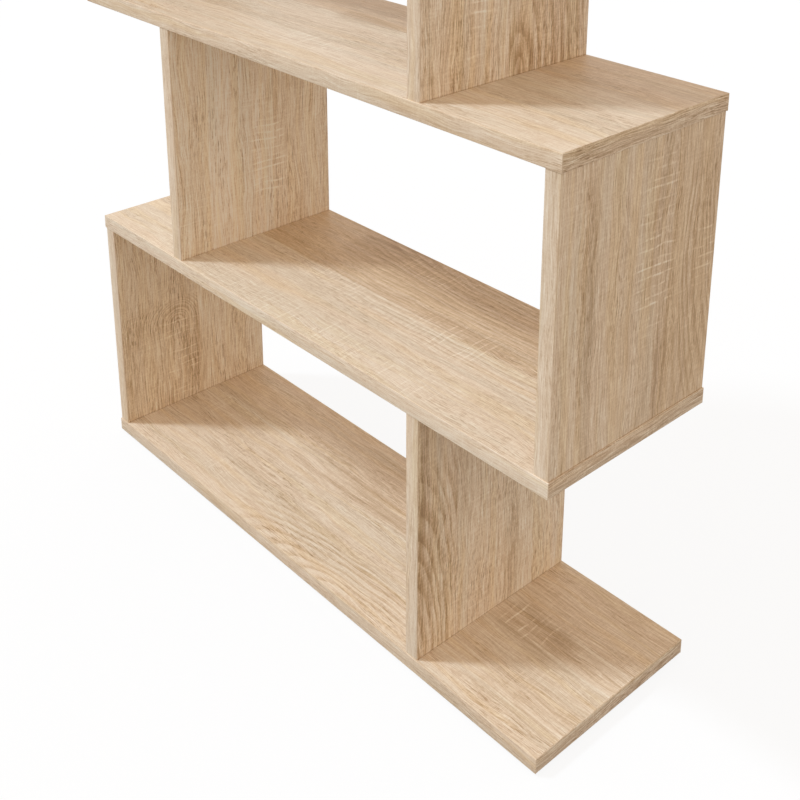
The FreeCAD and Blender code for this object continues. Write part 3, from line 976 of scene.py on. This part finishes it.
# %% Cross bar
def cross_bar(tree, length, width, low, high):
    """An upright bar with a cross for its section, from one height to another."""
    far, near = (calc(tree, "MULTIPLY", size, 0.5) for size in (length, width))
    minus_far, minus_near = (calc(tree, "MULTIPLY", size, -0.5) for size in (length, width))
    corners = [(far, near), (near, near), (near, far), (minus_near, far), (minus_near, near),
               (minus_far, near), (minus_far, minus_near), (minus_near, minus_near),
               (minus_near, minus_far), (near, minus_far), (near, minus_near), (far, minus_near)]
    section = add_node(tree, "GeometryNodeSetSplineCyclic", {
        "Geometry": polyline(tree, [(x, y, 0.0) for x, y in corners]), "Cyclic": True})
    path = add_node(tree, "GeometryNodeCurvePrimitiveLine", {
        "Start": add_node(tree, "ShaderNodeCombineXYZ", {2: low}).outputs[0],
        "End": add_node(tree, "ShaderNodeCombineXYZ", {2: high}).outputs[0]})
    return add_node(tree, "GeometryNodeCurveToMesh", {
        "Curve": path.outputs[0], "Profile Curve": section.outputs[0], "Fill Caps": True,
    }).outputs[0]


print("Shape helper: cross_bar")

# %% [markdown]
# ## Plated metal
#
# The fittings are small, but a flat grey would make them look like gaps. Plated steel has a
# faint mottle in its colour and fine lines from tumbling in the barrel. The group puts out only
# a colour, a roughness and a height, and each metal brings its own two colours.

# %% Plated metal group
FLAKES = 0.6  # to each grain of the mottle
MOTTLE_SHARE, FLAKE_SHARE = 0.7, 0.3

plated, given, made = new_group(
    "ShaderNodeTree", "Plated metal",
    [("Bright", COLOR, (0.7, 0.7, 0.7, 1)), ("Dull", COLOR, (0.5, 0.5, 0.5, 1)),
     ("Grain size", FLOAT, 1.2), ("Gloss", FLOAT, 0.3)],
    [("Color", COLOR), ("Roughness", FLOAT), ("Height", FLOAT)],
)
place = in_millimetres(plated, add_node(plated, "ShaderNodeTexCoord").outputs["Object"])
mottle = add_node(plated, "ShaderNodeTexNoise", {
    "Vector": place, "Scale": calc(plated, "DIVIDE", 1.0, given["Grain size"]),
    "Detail": 3.0}).outputs["Fac"]
spangle = add_node(plated, "ShaderNodeTexVoronoi", {
    "Vector": place, "Scale": calc(plated, "DIVIDE", FLAKES, given["Grain size"])})
flakes = add_node(plated, "ShaderNodeSeparateColor", {0: spangle.outputs["Color"]}).outputs[0]
drawn_out = add_node(plated, "ShaderNodeMapping", {
    "Vector": place, "Rotation": (0.3, 0.5, 0.8), "Scale": (0.4, 9.0, 9.0)})
lines = add_node(plated, "ShaderNodeTexNoise", {
    "Vector": drawn_out.outputs[0], "Scale": 1.0, "Detail": 1.0}).outputs["Fac"]
shade = calc(plated, "MULTIPLY_ADD", mottle, MOTTLE_SHARE,
             calc(plated, "MULTIPLY", flakes, FLAKE_SHARE))
mixed = add_node(plated, "ShaderNodeMix", {
    0: ramp(plated, shade, 0.25, 0.75), 6: given["Dull"], 7: given["Bright"]}, data_type="RGBA")
rough = calc(plated, "MULTIPLY_ADD", calc(plated, "ADD", mottle, lines), 0.14, given["Gloss"])
feed(plated, made["Color"], mixed.outputs[2])
feed(plated, made["Roughness"], rough)
feed(plated, made["Height"], calc(plated, "MULTIPLY_ADD", lines, 0.5, mottle))
print("Nodes in the metal group:", len(plated.nodes))

# %% [markdown]
# ## Moulded plastic
#
# Moulded plastic is even in colour, with faint clouds where it flowed, and a skin that is finely
# etched so that it doesn't shine. A plain colour with one roughness would look like a sticker.

# %% Moulded plastic group
ETCHING, FLOW = 4500.0, 160.0  # how many features there are to a metre
CLOUD_COLOR = (0.30, 0.25, 0.20, 1)

moulded, given, made = new_group(
    "ShaderNodeTree", "Moulded plastic",
    [("Plain", COLOR, (0.5, 0.5, 0.5, 1)), ("Gloss", FLOAT, 0.4)],
    [("Color", COLOR), ("Roughness", FLOAT), ("Height", FLOAT)],
)
own = add_node(moulded, "ShaderNodeTexCoord").outputs["Object"]
etched, flow = (
    add_node(moulded, "ShaderNodeTexNoise",
             {"Vector": own, "Scale": scale, "Detail": detail}).outputs["Fac"]
    for scale, detail in ((ETCHING, 1.0), (FLOW, 2.0)))
tint = add_node(moulded, "ShaderNodeMix", {
    0: ramp(moulded, flow, 0.3, 0.7, 0.0, 0.16), 6: given["Plain"], 7: CLOUD_COLOR},
    data_type="RGBA")
feed(moulded, made["Color"], tint.outputs[2])
feed(moulded, made["Roughness"], calc(moulded, "MULTIPLY_ADD", etched, 0.2, given["Gloss"]))
feed(moulded, made["Height"], etched)
print("Nodes in the plastic group:", len(moulded.nodes))

# %% [markdown]
# ## Metals and plastics of the fittings
#
# Each fitting's material places one of the two groups with its own values. The metallic value is
# the same all over, so it is set on the shader itself. The screws and nails are bright zinc, the
# cams are cast and duller, the covers are in the colour of the oak and the glides are milky.

# %% Fitting materials
SKIN_STRENGTH = 0.4  # how much of its bump a fitting shows


def fitting_material(name, group, metallic, bump_depth, **looks):
    """A metal or plastic material. bump_depth is in metres."""
    material = new_material(name)
    tree = material.node_tree
    tree.nodes["Principled BSDF"].inputs["Metallic"].default_value = metallic
    finish = use_group(tree, group, **looks)
    finish_shader(material, finish["Color"], finish["Roughness"], finish["Height"],
                  SKIN_STRENGTH, bump_depth)
    return material


bright_zinc = fitting_material("bright_zinc", plated, 1.0, 0.00002, Grain_size=1.4, Gloss=0.22,
                               Bright=(0.74, 0.75, 0.77, 1), Dull=(0.55, 0.56, 0.58, 1))
cast_zinc = fitting_material("cast_zinc", plated, 1.0, 0.00005, Grain_size=0.8, Gloss=0.34,
                             Bright=(0.62, 0.62, 0.63, 1), Dull=(0.44, 0.44, 0.45, 1))
oak_plastic = fitting_material("oak_plastic", moulded, 0.0, 0.00003, Gloss=0.42,
                               Plain=(0.62, 0.47, 0.32, 1))
milky_plastic = fitting_material("milky_plastic", moulded, 0.0, 0.00003, Gloss=0.34,
                                 Plain=(0.70, 0.68, 0.63, 1))
print("Fitting materials:", [material.name for material in
                             (bright_zinc, cast_zinc, oak_plastic, milky_plastic)])

# %% [markdown]
# ## Beech dowels
#
# Beech is pinker than oak and has no open pores. What tells it apart is its flecks: short brown
# dashes, all along the grain. The oak group could be tinted for it, but its arches and pores
# would be wrong. Two stretched noises are enough. The dowels stand upright, so the grain runs up.

# %% Beech
DARK_BEECH, PALE_BEECH = (0.42, 0.24, 0.13, 1), (0.76, 0.55, 0.36, 1)
GRAIN_DEPTH, GRAIN_STRENGTH = 0.0001, 0.3  # the depth is in metres

beech = new_material("beech")
tree = beech.node_tree
x, y, up = axes_of(tree, add_node(tree, "ShaderNodeTexCoord").outputs["Object"])
around = calc(tree, "ADD", x, calc(tree, "MULTIPLY", y, 1.3))
fleck = ramp(tree, stretched(tree, up, around, 2.6, 0.35, 0.3), 0.58, 0.66)
bands_of_tone = stretched(tree, up, around, 40, 2.0, 1.7)
tone = calc(tree, "MULTIPLY_ADD", fleck, -0.55, bands_of_tone)
colors = add_node(tree, "ShaderNodeValToRGB", {0: calc(tree, "ADD", tone, 0.2)})
for stop, color in zip(colors.color_ramp.elements, (DARK_BEECH, PALE_BEECH)):
    stop.color = color
finish_shader(beech, colors.outputs[0], ramp(tree, bands_of_tone, 0.2, 0.8, 0.55, 0.7),
              bands_of_tone, GRAIN_STRENGTH, GRAIN_DEPTH)
print("Nodes in the beech material:", len(tree.nodes))

# %% Dress the fittings that keep their shape
tiers = range(1, 5)
for tier in tiers:
    dress(f"cams_tier_{tier}", cast_zinc)
    dress(f"cam_bolts_tier_{tier}", bright_zinc)
    dress(f"dowels_tier_{tier}", beech)
dress("glide_nails", bright_zinc)
dress("wall_bracket", bright_zinc)
print("Fittings dressed:", 3 * len(tiers) + 2)

# %% [markdown]
# ## Screws
#
# Two kinds of screw hold the unit: long countersunk ones under each shelf and two short
# flat-headed ones in the wall bracket. Both are one outline with other sizes. The driver recess
# is cut once, by a boolean on the single screw, before it is copied to its places. Threads stay
# away: they are inside the wood, where nothing shows them.

# %% Screw tree
# Heights are from the face of the head, in metres.
long_screw = {"Head radius": 0.005, "Head rim": 0.0004, "Neck": 0.0034, "Shank radius": 0.0031,
              "Tip": 0.050, "Rounding": 0.0003, "Recess": 0.0052, "Sides": 32}
short_screw = {"Head radius": 0.0036, "Head rim": 0.0018, "Neck": 0.0018, "Shank radius": 0.0018,
               "Tip": 0.0158, "Rounding": 0.0011, "Recess": 0.0036, "Sides": 28}
POINT_LENGTH = 2.2  # shank radii
RECESS_WIDTH, RECESS_DEPTH = 0.2, 0.45  # shares of the recess's length
CUT_START = -0.001  # metres, so outside the head

screw_tree, given, made = new_tree("Screws", long_screw)
head, shank, rounding = given["Head radius"], given["Shank radius"], given["Rounding"]
point_start = calc(screw_tree, "MULTIPLY_ADD", shank, -POINT_LENGTH, given["Tip"])
blank = spun(
    screw_tree,
    [(0.0, 0.0), (head, 0.0), (head, given["Head rim"]), (shank, given["Neck"]),
     (shank, point_start), (0.0, given["Tip"])],
    [0.0, rounding, rounding, 0.0, 0.0, 0.0], given["Sides"],
)
recess_width = calc(screw_tree, "MULTIPLY", given["Recess"], RECESS_WIDTH)
recess_floor = calc(screw_tree, "MULTIPLY", given["Recess"], RECESS_DEPTH)
recess = cross_bar(screw_tree, given["Recess"], recess_width, CUT_START, recess_floor)
cut = add_node(screw_tree, "GeometryNodeMeshBoolean", {"Mesh 1": blank, "Mesh 2": recess},
               operation="DIFFERENCE", solver="EXACT")
put_on_points(screw_tree, given, made, soft_corners(screw_tree, cut.outputs[0]))
print("Nodes in the screw tree:", len(screw_tree.nodes))

# %% Grow the screws
def places_in(node, radius, height):
    """The points at the corners of a node's box, in by one radius, at one height."""
    low, high = (Vector(corner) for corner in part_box(node))
    across_row = sorted({round(low.x + radius, 5), round(high.x - radius, 5)})
    back_row = sorted({round(low.y + radius, 5), round(high.y - radius, 5)})
    return [(x, y, height) for x in across_row for y in back_row]


kinds = [(f"screws_tier_{tier}", long_screw, "screw_steel") for tier in tiers]
kinds.append(("bracket_screws", short_screw, "bracket_screw_steel"))
for node, sizes, slot in kinds:
    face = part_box(node)[0][2]
    grow(node + "_turned", screw_tree, places_in(node, sizes["Head radius"], face), bright_zinc,
         [node], sizes)

# %% [markdown]
# ## Cam covers
#
# A cover is a shallow cap in the colour of the decor, pressed over each cam. A flat disc would be
# quicker, but light would find nothing to play on. So the cap is turned, with a low crown and a
# thin rim, and a cross-shaped blade behind it grips the cam. The caps face left, so each copy is
# tipped over by a quarter turn.

# %% Cam cover tree
cover_sizes = {"Radius": 0.0086, "Thickness": 0.0009, "Rim rounding": 0.0002,
               "Crown rounding": 0.003, "Blade length": 0.0061, "Blade width": 0.001,
               "Blade depth": 0.0019, "Sides": 40}
RIM_SHARE, SHOULDER_SHARE = 0.45, 0.85  # how high they lie in the thickness
CROWN_SHARE = 0.86  # how far out the shoulder lies in the radius
BLADE_ROOT = 0.0002  # how far the blade reaches into the cap, in metres

cover_tree, given, made = new_tree("Cam covers", cover_sizes)
rim = calc(cover_tree, "MULTIPLY", given["Thickness"], RIM_SHARE)
shoulder = calc(cover_tree, "MULTIPLY", given["Thickness"], SHOULDER_SHARE)
crown = calc(cover_tree, "MULTIPLY", given["Radius"], CROWN_SHARE)
cap = spun(
    cover_tree,
    [(0.0, 0.0), (given["Radius"], 0.0), (given["Radius"], rim), (crown, shoulder),
     (0.0, given["Thickness"])],
    [0.0, 0.0, given["Rim rounding"], given["Crown rounding"], 0.0], given["Sides"], steps=4,
)
blade_end = calc(cover_tree, "MULTIPLY", given["Blade depth"], -1.0)
blade = cross_bar(cover_tree, given["Blade length"], given["Blade width"], blade_end, BLADE_ROOT)
whole = add_node(cover_tree, "GeometryNodeMeshBoolean", operation="UNION", solver="EXACT")
for shape in (cap, blade):
    cover_tree.links.new(shape, whole.inputs["Mesh 2"])
tipped = add_node(cover_tree, "FunctionNodeEulerToRotation", {0: (0, -math.pi / 2, 0)})
put_on_points(cover_tree, given, made, soft_corners(cover_tree, whole.outputs[0]),
              Rotation=tipped.outputs[0])
print("Nodes in the cover tree:", len(cover_tree.nodes))

# %% Grow the covers
for tier in tiers:
    node = f"cam_covers_tier_{tier}"
    low, high = (Vector(corner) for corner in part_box(node))
    height = (low.z + high.z) / 2
    faces = (low.x + cover_sizes["Thickness"], high.x - cover_sizes["Blade depth"])
    grow(node + "_capped", cover_tree, [(x, 0, height) for x in faces], oak_plastic,
         [node], cover_sizes)

# %% [markdown]
# ## Floor glides
#
# Four milky plastic discs keep the lowest board off the floor. Their lower rim is well rounded
# so that it slides, and each is held by a nail through its middle. A cylinder with a bevel would
# round both rims alike, and the upper one lies flat against the board.

# %% Glide tree and glides
glide_sizes = {"Radius": 0.010, "Height": 0.003, "Lower rounding": 0.0012,
               "Upper rounding": 0.0002, "Sides": 40}

glide_tree, given, made = new_tree("Floor glides", glide_sizes)
disc = spun(glide_tree, [(0.0, 0.0), (given["Radius"], 0.0), (given["Radius"], given["Height"]),
                         (0.0, given["Height"])],
            [0.0, given["Lower rounding"], given["Upper rounding"], 0.0], given["Sides"], steps=4)
put_on_points(glide_tree, given, made, disc)
grow("glides_turned", glide_tree, places_in("glides", glide_sizes["Radius"], 0.0), milky_plastic,
     ["glides"], glide_sizes)

# %% [markdown]
# ## Camera
#
# The photograph is taken from the front right, from about the height of the fourth shelf, and it
# is the lower part of a taller picture. So the lens is aimed at the middle of the whole unit and
# shifted down, which keeps the picture's lines as they were. A lens without shift could be tilted
# further down to frame the same part, but the uprights would then draw together too strongly
# towards the floor. Place and angle were worked out from the corners of the boards.

# %% Camera
PICTURE_WIDTH = 800  # pixels
FOCAL_PIXELS = 1220.6
LENS_SHIFT = -0.39  # of the picture's width
SENSOR_WIDTH = 36.0  # millimetres
EYE = (1.0053, -0.8451, 1.0169)  # metres
azimuth, elevation = math.radians(47.96), math.radians(17.96)

camera = bpy.data.cameras.new("camera")
camera.sensor_width = SENSOR_WIDTH
camera.lens = FOCAL_PIXELS / PICTURE_WIDTH * SENSOR_WIDTH
camera.shift_y = LENS_SHIFT
eye = new_object("camera", camera)
back = Vector((math.sin(azimuth) * math.cos(elevation),
               -math.cos(azimuth) * math.cos(elevation), math.sin(elevation)))
eye.location = EYE
eye.rotation_euler = (-back).to_track_quat("-Z", "Y").to_euler()
bpy.context.scene.camera = eye
print("Focal length in millimetres:", round(camera.lens, 1))

# %% [markdown]
# ## Floor and backdrop
#
# The object stands in a plain white surround. The camera, and what mirrors or lets through, sees
# the floor as white with a faint shadow on it. More light would whiten a plain floor too, but it
# would bleach the boards first. Other rays meet a greyer floor, because a floor that is truly
# white would light every underside and flatten the boards.

# %% Floor material
GLOW_SHARE = 0.88  # how much of the floor's white doesn't wait for light


def seen_directly(tree):
    """1 for rays from the camera or by way of gloss or glass, 0 for soft bounces."""
    rays = add_node(tree, "ShaderNodeLightPath").outputs
    first = calc(tree, "MAXIMUM", rays["Is Camera Ray"], rays["Is Glossy Ray"])
    return calc(tree, "MAXIMUM", first, rays["Is Transmission Ray"])


floor_white = new_material("floor_white")
tree = floor_white.node_tree
tree.nodes.clear()
shown = add_node(tree, "ShaderNodeBsdfDiffuse", {"Color": (0.95, 0.95, 0.95, 1)})
glow = add_node(tree, "ShaderNodeEmission", {"Color": (1, 1, 1, 1), "Strength": 1.0})
bounce = add_node(tree, "ShaderNodeBsdfDiffuse", {"Color": (0.36, 0.35, 0.33, 1)})
white_floor = add_node(tree, "ShaderNodeMixShader", {
    0: GLOW_SHARE, 1: shown.outputs[0], 2: glow.outputs[0]})
either = add_node(tree, "ShaderNodeMixShader", {
    0: seen_directly(tree), 1: bounce.outputs[0], 2: white_floor.outputs[0]})
add_node(tree, "ShaderNodeOutputMaterial", {0: either.outputs[0]})
print("Nodes in the floor's material:", len(tree.nodes))

# %% Floor
FLOOR_REACH = 12.0  # metres from the middle to each side

floor_corners = [(x * FLOOR_REACH, y * FLOOR_REACH, 0)
                 for x, y in ((-1, -1), (1, -1), (1, 1), (-1, 1))]
floor_mesh = bpy.data.meshes.new("floor")
floor_mesh.from_pydata(floor_corners, [], [(0, 1, 2, 3)])
floor_mesh.materials.append(floor_white)
floor = new_object("floor", floor_mesh)
print("Floor in metres:", 2 * FLOOR_REACH, "by", 2 * FLOOR_REACH)

# %% [markdown]
# ## Light
#
# Each upright throws one clear shadow to the back right, with an edge that is soft but narrow,
# and every shelf shades the back of the one below. Both say that the main light is a distant
# softbox, high at the front left. A sun lamp with a wide angle is exactly that, and its strength
# doesn't change from board to board. The rest is an even, slightly warm surround.

# %% Surround
world = bpy.data.worlds.new("studio")
bpy.context.scene.world = world
world.use_nodes = True
tree = world.node_tree
tree.nodes.clear()
soft = add_node(tree, "ShaderNodeBackground", {"Color": (1, 0.89, 0.79, 1), "Strength": 0.81})
white = add_node(tree, "ShaderNodeBackground", {"Color": (1, 1, 1, 1), "Strength": 1.0})
mixed = add_node(tree, "ShaderNodeMixShader", {
    0: seen_directly(tree), 1: soft.outputs[0], 2: white.outputs[0]})
add_node(tree, "ShaderNodeOutputWorld", {0: mixed.outputs[0]})
print("Nodes in the surround:", len(tree.nodes))

# %% Main light
SHINING = Vector((0.636, 0.6, -1.0))  # the way that the light goes
SOFTNESS = 7  # degrees that the softbox takes up, seen from the unit
LAMP_DISTANCE = 3

softbox = bpy.data.lights.new("softbox", "SUN")
softbox.energy = 1.5
softbox.angle = math.radians(SOFTNESS)
softbox.color = (0.83, 1.0, 1.20)
lamp = new_object("softbox", softbox)
lamp.location = SHINING * -LAMP_DISTANCE
lamp.rotation_euler = SHINING.to_track_quat("-Z", "Y").to_euler()
print("Light strength:", softbox.energy, "and its angle in degrees:", SOFTNESS)

# %% [markdown]
# ## The view
#
# The Standard view shows colours as they are written.

# %% Finish
bpy.context.scene.view_settings.view_transform = "Standard"
